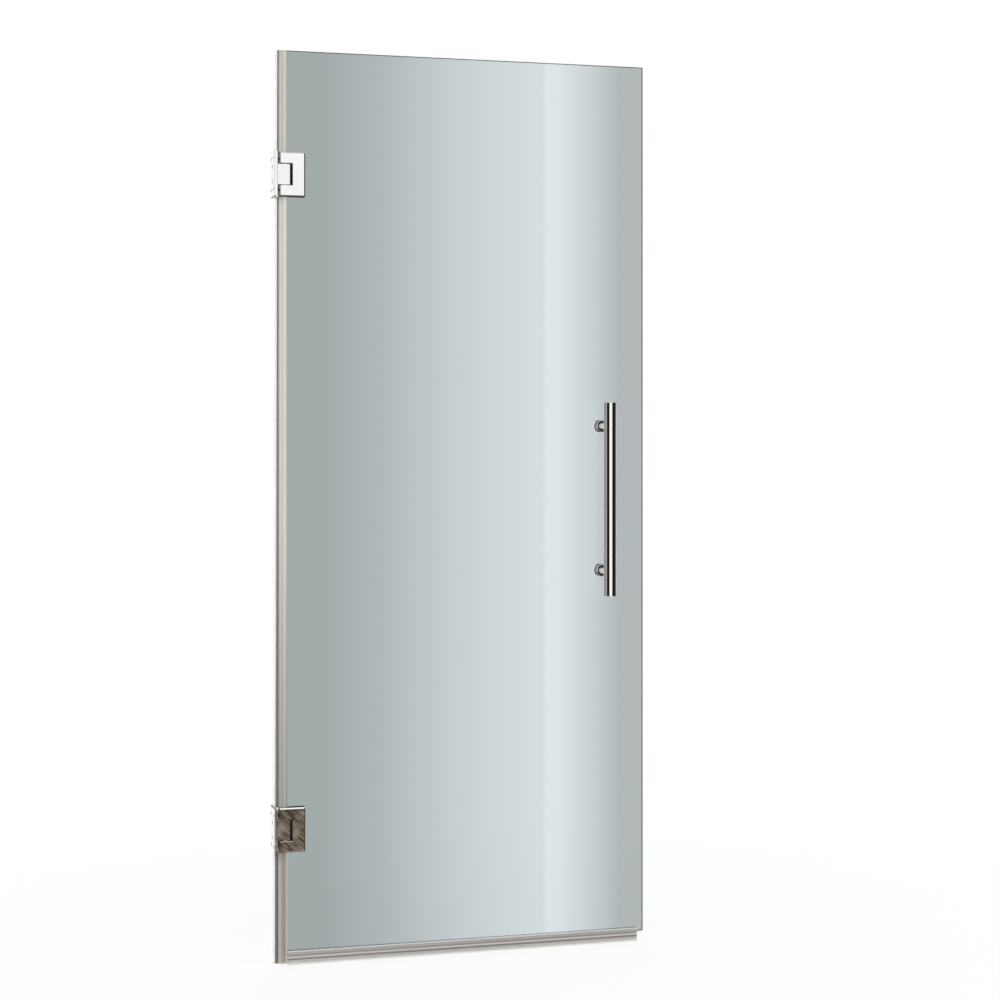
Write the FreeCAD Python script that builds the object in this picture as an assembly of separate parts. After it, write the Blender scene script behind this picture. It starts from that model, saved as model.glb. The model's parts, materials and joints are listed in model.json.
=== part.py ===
import FreeCAD, Part

import math
import os

# A frameless hinged shower door in millimetres. X runs from the wall that carries the hinges to
# the strike side, Y from the outside to the inside of the shower, and Z up. The glass is centred
# on y = 0. The origin is the middle of the lower wall plate's back face, on the wall.

X_AXIS = FreeCAD.Vector(1, 0, 0)
Y_AXIS = FreeCAD.Vector(0, 1, 0)
Z_AXIS = FreeCAD.Vector(0, 0, 1)
OUTSIDE = -1
INSIDE = 1
FULL_TURN = 360.0
SOCKET_SIDES = 6

# The door as a whole
opening_width = 782.0
door_height = 1829.0
strike_gap = 5.0
hinge_side_gap = 12.0
sill_gap = 21.0
lower_hinge_height = 271.5
upper_hinge_drop = 248.0
handle_height = 928.0
handle_inset = 91.5

# Clearances that several pieces share
pin_fit = 0.05
thread_fit = 0.05
seat_gap = 0.1
cut_over = 1.0
same_place = 0.001

# Glass panel
glass_thickness = 10.0
glass_corner_radius = 3.0
glass_arris = 0.8
notch_corner_radius = 8.0
handle_hole_radius = 8.0

# Hinge clamps and wall plates
hinge_height = 89.0
clamp_width = 52.5
clamp_plate_thickness = 5.7
clamp_bevel = 2.5
slot_bevel = 0.5
gasket_thickness = 0.8
gasket_inset = 0.5
pin_inset = 11.8
swing_clearance = 2.1
wall_plate_thickness = 7.0
wall_plate_width = 55.0
wall_plate_bevel = 0.5
wall_screw_radius = 3.2
wall_screw_head_radius = 6.0
wall_screw_row_spacing = 32.0
wall_screw_column_spacing = 62.0

# Knuckle block and what it holds
knuckle_height = 42.0
knuckle_thickness = 19.0
knuckle_nose = 10.8
knuckle_corner_radius = 1.2
knuckle_edge_bevel = 0.6
knuckle_end_clearance = 1.1
inner_slot_clearance = 0.8
pin_radius = 5.0
pin_grip = 8.5
pin_end_bevel = 0.5
pin_flat_depth = 1.1
pin_flat_height = 12.0
bush_wall = 2.0
bush_length = 8.0
bush_flange_width = 2.0
bush_flange_thickness = 0.8
bush_end_clearance = 0.2
plunger_radius = 4.0
plunger_head_length = 4.0
plunger_stem_radius = 1.5
plunger_face_gap = 0.3
disc_spring_count = 5
disc_spring_thickness = 0.5
disc_spring_rise = 0.3
disc_spring_gap = 0.05
adjuster_back_gap = 0.3
block_screw_radius = 2.5
block_screw_head_radius = 4.8
block_screw_spacing = 29.0
block_screw_length = 14.3
block_screw_sink = 0.2

# Clamp bosses and screws
boss_arm_width = 10.0
boss_spine_width = 8.8
boss_edge_inset = 1.0
boss_split_gap = 0.05
boss_corner_radius = 7.0
notch_clearance = 1.0
clamp_screw_radius = 2.5
clamp_screw_head_radius = 4.2
clamp_screw_head_height = 3.5
clamp_screw_sink = 0.2
clamp_screw_skin = 2.5
clamp_screw_end_gap = 0.5
arm_screw_offset = 11.0
spine_screw_offset = 5.0
spine_screw_spacing = 18.0
socket_radius = 1.5
socket_depth = 1.8

# Clear seals
seal_wall = 1.2
seal_reach = 16.7
seal_end_gap = 0.5
seal_sill_gap = 5.0
bulb_radius = 3.1
bulb_wall = 0.9
bulb_overlap = 0.5
fin_thickness = 0.8
fin_wall_gap = 0.5
sweep_leg_reach = 7.7
sweep_skirt_depth = 8.4
sweep_start_gap = 0.6
sweep_end_inset = 13.0
drip_rail_reach = 9.0
drip_rail_drop = 5.0
drip_rail_thickness = 1.1
wiper_base_width = 8.0
wiper_base_thickness = 1.0
wiper_fin_thickness = 1.4
wiper_tip_thickness = 0.7
wiper_splay = 1.8
wiper_sill_gap = 0.6

# Handle
bar_length = 397.0
bar_radius = 14.0
bar_wall = 1.6
bar_cap_thickness = 3.0
bar_cap_bevel = 0.6
bar_plug_length = 10.0
bar_projection = 65.0
post_inset = 48.5
post_radius = 7.5
post_spigot_radius = 5.0
post_spigot_length = 3.0
post_socket_depth = 20.0
rosette_radius = 12.5
rosette_thickness = 5.0
rosette_bevel = 0.8
washer_radius = 12.0
washer_thickness = 1.0
stud_radius = 4.0
stud_end_gap = 0.5
inner_cap_thickness = 7.0
inner_cap_bevel = 1.5
inner_cap_skin = 2.0
grub_radius = 2.0
grub_gap = 0.4
grub_offset = 6.0

# Places that follow from the sizes above
sill_z = -lower_hinge_height
glass_left = hinge_side_gap
glass_right = opening_width - strike_gap
glass_bottom = sill_z + sill_gap
glass_top = sill_z + door_height
half_glass = glass_thickness / 2
hinge_places = {"lower": 0.0, "upper": glass_top - upper_hinge_drop}

half_hinge = hinge_height / 2
clamp_back = half_glass + gasket_thickness
clamp_face = clamp_back + clamp_plate_thickness
clamp_swing = max(
    math.hypot(pin_inset, clamp_face - clamp_bevel),
    math.hypot(pin_inset - clamp_bevel, clamp_face),
)
pin_x = wall_plate_thickness + swing_clearance + clamp_swing
clamp_left = pin_x - pin_inset
clamp_right = clamp_left + clamp_width
half_knuckle = knuckle_thickness / 2
knuckle_end = pin_x + knuckle_nose
nose_corner_x = knuckle_nose - knuckle_corner_radius
nose_corner_y = half_knuckle - knuckle_corner_radius
nose_swing = math.hypot(nose_corner_x, nose_corner_y) + knuckle_corner_radius
slot_end = pin_x + nose_swing + knuckle_end_clearance
inner_slot_swing = nose_swing + inner_slot_clearance
inner_slot_end = pin_x + math.sqrt(inner_slot_swing ** 2 - clamp_back ** 2)
slot_half = knuckle_height / 2 + bush_flange_thickness + bush_end_clearance
boss_end = slot_end + boss_spine_width
boss_half = slot_half + boss_arm_width
notch_end = boss_end + notch_clearance
notch_half = boss_half + notch_clearance
pin_half = slot_half + pin_grip

bush_bore_radius = pin_radius + pin_fit
bush_radius = bush_bore_radius + bush_wall
knuckle_bore_radius = bush_radius + pin_fit
plunger_face = pin_x - pin_radius - plunger_face_gap
plunger_back = plunger_face - plunger_head_length
disc_spring_pitch = disc_spring_thickness + disc_spring_rise + disc_spring_gap
adjuster_front = plunger_back - disc_spring_count * disc_spring_pitch
adjuster_back = wall_plate_thickness + adjuster_back_gap
block_screw_hole_end = block_screw_length + clamp_screw_end_gap

screw_head_face = clamp_face - clamp_screw_sink
screw_head_seat = screw_head_face - clamp_screw_head_height
screw_hole_end = -(clamp_face - clamp_screw_skin)

seal_inside = half_glass + seat_gap
seal_outside = seal_inside + seal_wall
seal_web_inside = glass_left - seat_gap
seal_web_outside = seal_web_inside - seal_wall
seal_tip = glass_left + seal_reach
bulb_x = seal_web_outside + bulb_overlap - bulb_radius
sweep_start = seal_tip + sweep_start_gap
sweep_end = glass_right - sweep_end_inset
sweep_top = glass_bottom + sweep_leg_reach
sweep_base = glass_bottom - sweep_skirt_depth
sweep_web_top = glass_bottom - seat_gap
wiper_top = sweep_base
wiper_root = sweep_base - wiper_base_thickness
wiper_tip = sill_z + wiper_sill_gap

handle_x = glass_right - handle_inset
handle_z = sill_z + handle_height
washer_face = half_glass + washer_thickness
bar_y = -(half_glass + bar_projection)
bar_bottom = handle_z - bar_length / 2
bar_top = handle_z + bar_length / 2
post_places = {"lower": bar_bottom + post_inset, "upper": bar_top - post_inset}
stud_hole_radius = stud_radius + thread_fit
inner_cap_face = washer_face + inner_cap_thickness
grub_y = -(washer_face + rosette_thickness + grub_offset)


def point(x, y, z):
    return FreeCAD.Vector(x, y, z)


def block(x_low, x_high, y_low, y_high, z_low, z_high):
    """A box between two corners."""
    corner = point(x_low, y_low, z_low)
    return Part.makeBox(x_high - x_low, y_high - y_low, z_high - z_low, corner)


def rod(radius, start, direction, length):
    return Part.makeCylinder(radius, length, start, direction)


def tube(outer, inner, start, direction, length):
    return rod(outer, start, direction, length).cut(rod(inner, start, direction, length))


def cone(start_radius, end_radius, start, direction, length):
    return Part.makeCone(start_radius, end_radius, length, start, direction)


def prism(corners, travel):
    """A flat outline of straight sides, pushed along a vector."""
    loop = Part.makePolygon(corners + corners[:1])
    return Part.Face(loop).extrude(travel)


def near(value, target):
    return abs(value - target) < same_place


def edges_where(shape, test):
    """The edges whose ends and middle all pass a test."""
    chosen = []
    for edge in shape.Edges:
        middle = (edge.FirstParameter + edge.LastParameter) / 2
        places = [vertex.Point for vertex in edge.Vertexes]
        places.append(edge.valueAt(middle))
        if all(test(place) for place in places):
            chosen.append(edge)
    return chosen


def bevel_where(shape, size, test):
    return shape.makeChamfer(size, edges_where(shape, test))


def round_where(shape, radius, test):
    return shape.makeFillet(radius, edges_where(shape, test))


def layer(side, near_y, far_y):
    """The low and high y of a layer on one side of the glass."""
    return sorted((side * near_y, side * far_y))


def c_slab(x_low, x_high, half_height, slot_x, slot_half_height, y_span):
    """A C-shaped layer, open towards the wall."""
    body = block(x_low, x_high, *y_span, -half_height, half_height)
    y_cut = (y_span[0] - cut_over, y_span[1] + cut_over)
    slot = block(x_low - cut_over, slot_x, *y_cut, -slot_half_height, slot_half_height)
    return body.cut(slot)


def hex_socket(start, direction, depth):
    """A six-sided recess, pushed from its mouth along a direction."""
    first = FreeCAD.Vector(Z_AXIS)
    if near(abs(direction.dot(Z_AXIS)), Z_AXIS.Length):
        first = FreeCAD.Vector(X_AXIS)
    second = direction.cross(first)
    corners = []
    for step in range(SOCKET_SIDES):
        turn = math.radians(step * FULL_TURN / SOCKET_SIDES)
        corners.append(
            start
            + first * (socket_radius * math.cos(turn))
            + second * (socket_radius * math.sin(turn))
        )
    return prism(corners, direction * depth)


def clamp_screw_places():
    """The four clamp screws as x and z from the hinge's middle."""
    arm_x = pin_x + arm_screw_offset
    arm_z = slot_half + boss_arm_width / 2
    spine_x = slot_end + spine_screw_offset
    spine_z = spine_screw_spacing / 2
    return [(arm_x, arm_z), (arm_x, -arm_z), (spine_x, spine_z), (spine_x, -spine_z)]


def wall_screw_places():
    """The four wall screws as y and z from the hinge's middle."""
    row = wall_screw_row_spacing / 2
    column = wall_screw_column_spacing / 2
    return [(-row, -column), (-row, column), (row, -column), (row, column)]


def block_screw_places():
    return [-block_screw_spacing / 2, block_screw_spacing / 2]


def glass_panel():
    """The glass with its safety corners, hinge notches, handle holes and ground edges."""
    panel = block(glass_left, glass_right, -half_glass, half_glass, glass_bottom, glass_top)
    y_cut = (-half_glass - cut_over, half_glass + cut_over)
    notch_tops = []
    for hinge_z in hinge_places.values():
        z_span = (hinge_z - notch_half, hinge_z + notch_half)
        panel = panel.cut(block(glass_left - cut_over, notch_end, *y_cut, *z_span))
        notch_tops.extend(z_span)

    def at_notch_corner(place):
        return near(place.x, notch_end) and any(near(place.z, z) for z in notch_tops)

    def at_outer_corner(place):
        at_side = near(place.x, glass_left) or near(place.x, glass_right)
        return at_side and (near(place.z, glass_bottom) or near(place.z, glass_top))

    def on_either_face(place):
        return near(abs(place.y), half_glass)

    panel = round_where(panel, notch_corner_radius, at_notch_corner)
    panel = round_where(panel, glass_corner_radius, at_outer_corner)
    for post_z in post_places.values():
        start = point(handle_x, -half_glass - cut_over, post_z)
        hole = rod(handle_hole_radius, start, Y_AXIS, glass_thickness + 2 * cut_over)
        panel = panel.cut(hole)
    return bevel_where(panel, glass_arris, on_either_face)


def clamp_plate(side):
    """A C-shaped clamp plate whose boss fills half of the glass notch and half of the pin bore.

    The inner plate's slot is shorter, since the knuckle block's corners swing clear of it.
    """
    face_y = side * clamp_face
    plate_span = layer(side, clamp_back, clamp_face)
    plate_slot_end = slot_end if side == OUTSIDE else inner_slot_end
    plate = c_slab(clamp_left, clamp_right, half_hinge, plate_slot_end, slot_half, plate_span)

    def on_outer_edge(place):
        at_side = near(place.x, clamp_left) or near(place.x, clamp_right)
        return near(place.y, face_y) and (at_side or near(abs(place.z), half_hinge))

    def on_slot_edge(place):
        in_slot = place.x < slot_end + same_place and abs(place.z) < slot_half + same_place
        return near(place.y, face_y) and in_slot

    plate = bevel_where(plate, clamp_bevel, on_outer_edge)
    plate = bevel_where(plate, slot_bevel, on_slot_edge)

    def at_boss_corner(place):
        return near(place.x, boss_end) and near(abs(place.z), boss_half)

    boss_span = layer(side, boss_split_gap, clamp_back)
    boss_left = clamp_left + boss_edge_inset
    boss = c_slab(boss_left, boss_end, boss_half, slot_end, slot_half, boss_span)
    boss = round_where(boss, boss_corner_radius, at_boss_corner)
    return plate.fuse(boss).removeSplitter()


def pin_bore():
    """The bore that the two clamp bosses share, above and below the knuckle block."""
    length = 2 * (pin_half + seat_gap)
    return rod(pin_radius + pin_fit, point(pin_x, 0, -pin_half - seat_gap), Z_AXIS, length)


def outer_clamp():
    plate = clamp_plate(OUTSIDE).cut(pin_bore())
    for x, z in clamp_screw_places():
        hole = rod(clamp_screw_radius + thread_fit, point(x, screw_hole_end, z), Y_AXIS, -screw_hole_end)
        plate = plate.cut(hole)
    return plate


def inner_clamp():
    plate = clamp_plate(INSIDE).cut(pin_bore())
    for x, z in clamp_screw_places():
        hole = rod(clamp_screw_radius + seat_gap, point(x, 0, z), Y_AXIS, clamp_face)
        start = point(x, screw_head_seat, z)
        head = rod(clamp_screw_head_radius + seat_gap, start, Y_AXIS, clamp_face)
        plate = plate.cut(hole).cut(head)
    return plate


def clamp_screws():
    screws = []
    shank_end = screw_hole_end + clamp_screw_end_gap
    for x, z in clamp_screw_places():
        shank = rod(clamp_screw_radius, point(x, shank_end, z), Y_AXIS, screw_head_seat - shank_end)
        start = point(x, screw_head_seat, z)
        head = rod(clamp_screw_head_radius, start, Y_AXIS, clamp_screw_head_height)
        socket = hex_socket(point(x, screw_head_face, z), -Y_AXIS, socket_depth)
        screws.append(shank.fuse(head).cut(socket).removeSplitter())
    return Part.makeCompound(screws)


def gasket(side):
    """The rubber layer between one clamp plate and the glass."""
    return c_slab(
        glass_left + gasket_inset,
        clamp_right - gasket_inset,
        half_hinge - gasket_inset,
        notch_end,
        notch_half,
        layer(side, half_glass, clamp_back),
    )


def hinge_pin():
    """The pin, with a flat on its wall side where the plunger bears when the door is closed."""
    pin = rod(pin_radius, point(pin_x, 0, -pin_half), Z_AXIS, 2 * pin_half)
    pin = bevel_where(pin, pin_end_bevel, lambda place: near(abs(place.z), pin_half))
    flat_x = pin_x - pin_radius + pin_flat_depth
    half_flat = pin_flat_height / 2
    beside = block(
        pin_x - pin_radius - cut_over,
        flat_x,
        -pin_radius,
        pin_radius,
        -half_flat,
        half_flat,
    )
    return pin.cut(beside)


def pin_bushes():
    """Two flanged bushes that line the ends of the knuckle block's bore."""
    bushes = []
    for z_sign in (-1, 1):
        end = point(pin_x, 0, z_sign * knuckle_height / 2)
        sleeve = rod(bush_radius, end, Z_AXIS * -z_sign, bush_length)
        flange_radius = bush_radius + bush_flange_width
        flange = rod(flange_radius, end, Z_AXIS * z_sign, bush_flange_thickness)
        bore_start = point(pin_x, 0, -knuckle_height)
        bore = rod(bush_bore_radius, bore_start, Z_AXIS, 2 * knuckle_height)
        bushes.append(sleeve.fuse(flange).cut(bore).removeSplitter())
    return Part.makeCompound(bushes)


def knuckle_block():
    half_height = knuckle_height / 2
    y_span = (-half_knuckle, half_knuckle)
    body = block(wall_plate_thickness, knuckle_end, *y_span, -half_height, half_height)

    def at_nose_corner(place):
        return near(place.x, knuckle_end) and near(abs(place.y), half_knuckle)

    def on_end(place):
        return near(abs(place.z), half_height)

    body = round_where(body, knuckle_corner_radius, at_nose_corner)
    seat = wall_plate_thickness + same_place
    rim = [edge for edge in edges_where(body, on_end) if edge.BoundBox.XMax > seat]
    body = body.makeChamfer(knuckle_edge_bevel, rim)
    bore = rod(knuckle_bore_radius, point(pin_x, 0, -knuckle_height), Z_AXIS, 2 * knuckle_height)
    plunger_bore = rod(plunger_radius + pin_fit, point(0, 0, 0), X_AXIS, pin_x)
    body = body.cut(bore).cut(plunger_bore)
    for z in block_screw_places():
        hole = rod(block_screw_radius + thread_fit, point(0, 0, z), X_AXIS, block_screw_hole_end)
        body = body.cut(hole)
    return body


def countersink(head_radius, hole_radius, start, direction):
    """A cone at half a right angle, from the head's radius down to the hole's."""
    return cone(head_radius, hole_radius, start, direction, head_radius - hole_radius)


def wall_plate():
    """The plate on the wall: four countersunk wall holes and two for the block screws."""
    half_width = wall_plate_width / 2
    plate = block(0, wall_plate_thickness, -half_width, half_width, -half_hinge, half_hinge)

    def on_front_rim(place):
        at_side = near(abs(place.y), half_width) or near(abs(place.z), half_hinge)
        return near(place.x, wall_plate_thickness) and at_side

    plate = bevel_where(plate, wall_plate_bevel, on_front_rim)
    for y, z in wall_screw_places():
        hole = rod(wall_screw_radius, point(0, y, z), X_AXIS, wall_plate_thickness)
        mouth = point(wall_plate_thickness, y, z)
        sink = countersink(wall_screw_head_radius, wall_screw_radius, mouth, -X_AXIS)
        plate = plate.cut(hole).cut(sink)
    hole_radius = block_screw_radius + seat_gap
    for z in block_screw_places():
        hole = rod(hole_radius, point(0, 0, z), X_AXIS, wall_plate_thickness)
        sink = countersink(block_screw_head_radius + seat_gap, hole_radius, point(0, 0, z), X_AXIS)
        plate = plate.cut(hole).cut(sink)
    return plate


def block_screws():
    screws = []
    for z in block_screw_places():
        start = point(block_screw_sink, 0, z)
        head_radius = block_screw_head_radius - block_screw_sink
        shank = rod(block_screw_radius, start, X_AXIS, block_screw_length - block_screw_sink)
        head = countersink(head_radius, block_screw_radius, start, X_AXIS)
        socket = hex_socket(start, X_AXIS, socket_depth)
        screws.append(shank.fuse(head).cut(socket).removeSplitter())
    return Part.makeCompound(screws)


def detent_plunger():
    """A round plunger, its stem pointing back through the springs and the adjusting screw."""
    head = rod(plunger_radius, point(plunger_back, 0, 0), X_AXIS, plunger_head_length)
    stem_start = point(adjuster_back, 0, 0)
    stem = rod(plunger_stem_radius, stem_start, X_AXIS, plunger_back - adjuster_back)
    return head.fuse(stem).removeSplitter()


def disc_springs():
    """Shallow cone washers on the plunger's stem, each facing the other way from the last."""
    inner = plunger_stem_radius + seat_gap
    outer = plunger_radius - seat_gap
    washers = []
    for index in range(disc_spring_count):
        start = adjuster_front + disc_spring_gap / 2 + index * disc_spring_pitch
        rises = (0, disc_spring_rise) if index % 2 else (disc_spring_rise, 0)
        inner_x = start + rises[0]
        outer_x = start + rises[1]
        corners = [
            point(inner_x, inner, 0),
            point(outer_x, outer, 0),
            point(outer_x + disc_spring_thickness, outer, 0),
            point(inner_x + disc_spring_thickness, inner, 0),
        ]
        section = Part.Face(Part.makePolygon(corners + corners[:1]))
        washers.append(section.revolve(point(0, 0, 0), X_AXIS, FULL_TURN))
    return Part.makeCompound(washers)


def adjusting_screw():
    """The hollow screw that sets the springs' load and guides the plunger's stem."""
    start = point(adjuster_back, 0, 0)
    length = adjuster_front - adjuster_back
    return tube(plunger_radius, plunger_stem_radius + seat_gap, start, X_AXIS, length)


def seal_segment(z_low, z_high):
    """One length of the hinge-side seal: a channel on the glass, a hollow bulb and a wall fin."""
    height = z_high - z_low
    channel = block(seal_web_outside, seal_tip, -seal_outside, seal_outside, z_low, z_high)
    slot_z = (z_low - cut_over, z_high + cut_over)
    slot = block(seal_web_inside, seal_tip + cut_over, -seal_inside, seal_inside, *slot_z)
    bulb_start = point(bulb_x, 0, z_low)
    half_fin = fin_thickness / 2
    fin = block(fin_wall_gap, bulb_x, -half_fin, half_fin, z_low, z_high)
    hollow = rod(bulb_radius - bulb_wall, bulb_start, Z_AXIS, height)
    bulb = rod(bulb_radius, bulb_start, Z_AXIS, height)
    return channel.fuse(bulb).fuse(fin).cut(slot).cut(hollow).removeSplitter()


def bottom_seal():
    """The rigid clear profile under the glass, hollow below, with a rail that sheds drips."""
    length = sweep_end - sweep_start
    x_cut = (sweep_start - cut_over, sweep_end + cut_over)
    body = block(sweep_start, sweep_end, -seal_outside, seal_outside, sweep_base, sweep_top)
    slot = block(*x_cut, -seal_inside, seal_inside, sweep_web_top, sweep_top + cut_over)
    cell_top = sweep_web_top - seal_wall
    cell = block(*x_cut, -seal_inside, seal_inside, sweep_base + seal_wall, cell_top)
    root_y = seal_outside - seal_wall / 2
    tip_y = seal_outside + drip_rail_reach
    tip_top = cell_top - drip_rail_drop
    corners = [
        point(sweep_start, root_y, cell_top),
        point(sweep_start, tip_y, tip_top),
        point(sweep_start, tip_y, tip_top - drip_rail_thickness),
        point(sweep_start, root_y, cell_top - drip_rail_thickness),
    ]
    rail = prism(corners, X_AXIS * length)
    return body.cut(slot).cut(cell).fuse(rail).removeSplitter()


def bottom_wiper():
    """Two soft fins on one base, splayed towards the sill."""
    half_base = wiper_base_width / 2
    travel = X_AXIS * (sweep_end - sweep_start)
    base = block(sweep_start, sweep_end, -half_base, half_base, wiper_root, wiper_top)
    wiper = base
    for side in (OUTSIDE, INSIDE):
        tip_outer = half_base + wiper_splay
        corners = [
            point(sweep_start, side * half_base, wiper_root),
            point(sweep_start, side * tip_outer, wiper_tip),
            point(sweep_start, side * (tip_outer - wiper_tip_thickness), wiper_tip),
            point(sweep_start, side * (half_base - wiper_fin_thickness), wiper_root),
        ]
        wiper = wiper.fuse(prism(corners, travel))
    return wiper.removeSplitter()


def pull_bar():
    start = point(handle_x, bar_y, bar_bottom + bar_cap_thickness)
    length = bar_length - 2 * bar_cap_thickness
    bar = tube(bar_radius, bar_radius - bar_wall, start, Z_AXIS, length)
    for post_z in post_places.values():
        hole_start = point(handle_x, bar_y, post_z)
        bar = bar.cut(rod(post_spigot_radius + thread_fit, hole_start, Y_AXIS, 2 * bar_radius))
    return bar


def bar_cap(end_z, inward):
    """A flat end cap with a plug inside the bar. Its outer rim has a small bevel."""
    cap = rod(bar_radius, point(handle_x, bar_y, end_z), inward, bar_cap_thickness)
    cap = bevel_where(cap, bar_cap_bevel, lambda place: near(place.z, end_z))
    plug_radius = bar_radius - bar_wall - seat_gap
    plug_start = point(handle_x, bar_y, end_z)
    plug = rod(plug_radius, plug_start, inward, bar_cap_thickness + bar_plug_length)
    return cap.fuse(plug).removeSplitter()


def handle_post(post_z):
    """A round standoff, hollowed to the bar's curve, with a spigot that enters the bar."""
    start = point(handle_x, -washer_face, post_z)
    spigot_reach = bar_radius - bar_wall - post_spigot_length
    post = rod(post_radius, start, -Y_AXIS, -bar_y - washer_face)
    bar_start = point(handle_x, bar_y, post_z - bar_radius)
    post = post.cut(rod(bar_radius + seat_gap, bar_start, Z_AXIS, 2 * bar_radius))
    spigot_start = point(handle_x, bar_y + spigot_reach, post_z)
    spigot_length = bar_radius - spigot_reach + post_spigot_radius
    spigot = rod(post_spigot_radius, spigot_start, Y_AXIS, spigot_length)
    post = post.fuse(spigot)
    post = post.cut(rod(stud_hole_radius, start, -Y_AXIS, post_socket_depth))
    grub_start = point(handle_x, grub_y, post_z)
    return post.cut(rod(grub_radius + thread_fit, grub_start, -Z_AXIS, 2 * post_radius))


def rosette(post_z):
    start = point(handle_x, -washer_face, post_z)
    ring = tube(rosette_radius, post_radius + seat_gap, start, -Y_AXIS, rosette_thickness)
    front_y = -washer_face - rosette_thickness

    def on_front_rim(place):
        across = math.hypot(place.x - handle_x, place.z - post_z)
        return near(place.y, front_y) and near(across, rosette_radius)

    return bevel_where(ring, rosette_bevel, on_front_rim)


def washer(post_z, side):
    start = point(handle_x, side * half_glass, post_z)
    return tube(washer_radius, stud_hole_radius, start, Y_AXIS * side, washer_thickness)


def glass_sleeve(post_z):
    """The clear liner between the stud and the glass."""
    start = point(handle_x, -half_glass, post_z)
    outer = handle_hole_radius - seat_gap
    return tube(outer, stud_hole_radius, start, Y_AXIS, glass_thickness)


def handle_stud(post_z):
    start_y = -washer_face - post_socket_depth + stud_end_gap
    end_y = inner_cap_face - inner_cap_skin - stud_end_gap
    return rod(stud_radius, point(handle_x, start_y, post_z), Y_AXIS, end_y - start_y)


def inner_cap(post_z):
    start = point(handle_x, washer_face, post_z)
    cap = rod(rosette_radius, start, Y_AXIS, inner_cap_thickness)
    cap = bevel_where(cap, inner_cap_bevel, lambda place: near(place.y, inner_cap_face))
    return cap.cut(rod(stud_hole_radius, start, Y_AXIS, inner_cap_thickness - inner_cap_skin))


def grub_screw(post_z):
    start = point(handle_x, grub_y, post_z - stud_radius - seat_gap)
    length = post_radius - stud_radius - grub_gap
    screw = rod(grub_radius, start, -Z_AXIS, length)
    mouth = start - Z_AXIS * length
    return screw.cut(hex_socket(mouth, FreeCAD.Vector(Z_AXIS), socket_depth))


def hinge_pieces(name, hinge_z):
    """Every piece of one hinge, moved up to its height."""
    pieces = {
        "wall_plate": wall_plate(),
        "knuckle_block": knuckle_block(),
        "block_screws": block_screws(),
        "pin_bushes": pin_bushes(),
        "detent_plunger": detent_plunger(),
        "disc_springs": disc_springs(),
        "adjusting_screw": adjusting_screw(),
        "hinge_pin": hinge_pin(),
        "outer_clamp": outer_clamp(),
        "inner_clamp": inner_clamp(),
        "outer_gasket": gasket(OUTSIDE),
        "inner_gasket": gasket(INSIDE),
        "clamp_screws": clamp_screws(),
    }
    for shape in pieces.values():
        shape.translate(point(0, 0, hinge_z))
    return {f"{name}_{piece}": shape for piece, shape in pieces.items()}


def standoff_pieces(name, post_z):
    """Every piece of one standoff of the handle."""
    return {
        f"{name}_handle_post": handle_post(post_z),
        f"{name}_rosette": rosette(post_z),
        f"{name}_outer_washer": washer(post_z, OUTSIDE),
        f"{name}_glass_sleeve": glass_sleeve(post_z),
        f"{name}_inner_washer": washer(post_z, INSIDE),
        f"{name}_inner_cap": inner_cap(post_z),
        f"{name}_handle_stud": handle_stud(post_z),
        f"{name}_grub_screw": grub_screw(post_z),
    }


def seal_pieces():
    """The hinge-side seal in three lengths between and beside the hinges, and the bottom seal."""
    lower_z = hinge_places["lower"]
    upper_z = hinge_places["upper"]
    reach = half_hinge + seal_end_gap
    return {
        "hinge_seal_bottom": seal_segment(sill_z + seal_sill_gap, lower_z - reach),
        "hinge_seal_middle": seal_segment(lower_z + reach, upper_z - reach),
        "hinge_seal_top": seal_segment(upper_z + reach, glass_top),
        "bottom_seal": bottom_seal(),
        "bottom_wiper": bottom_wiper(),
    }


def all_pieces():
    pieces = {"glass_panel": glass_panel()}
    for name, hinge_z in hinge_places.items():
        pieces.update(hinge_pieces(name, hinge_z))
    pieces.update(seal_pieces())
    pieces["pull_bar"] = pull_bar()
    pieces["lower_bar_cap"] = bar_cap(bar_bottom, Z_AXIS)
    pieces["upper_bar_cap"] = bar_cap(bar_top, -Z_AXIS)
    for name, post_z in post_places.items():
        pieces.update(standoff_pieces(name, post_z))
    return pieces


os.makedirs("parts", exist_ok=True)
for node, shape in all_pieces().items():
    shape.exportStep(f"parts/{node}.step")
    print(node, "solids", len(shape.Solids), "valid", shape.isValid(), "volume", round(shape.Volume))
print("pin axis x", round(pin_x, 3), "sill z", sill_z, "glass", glass_left, glass_right, glass_top)
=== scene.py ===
import json
import math

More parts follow.
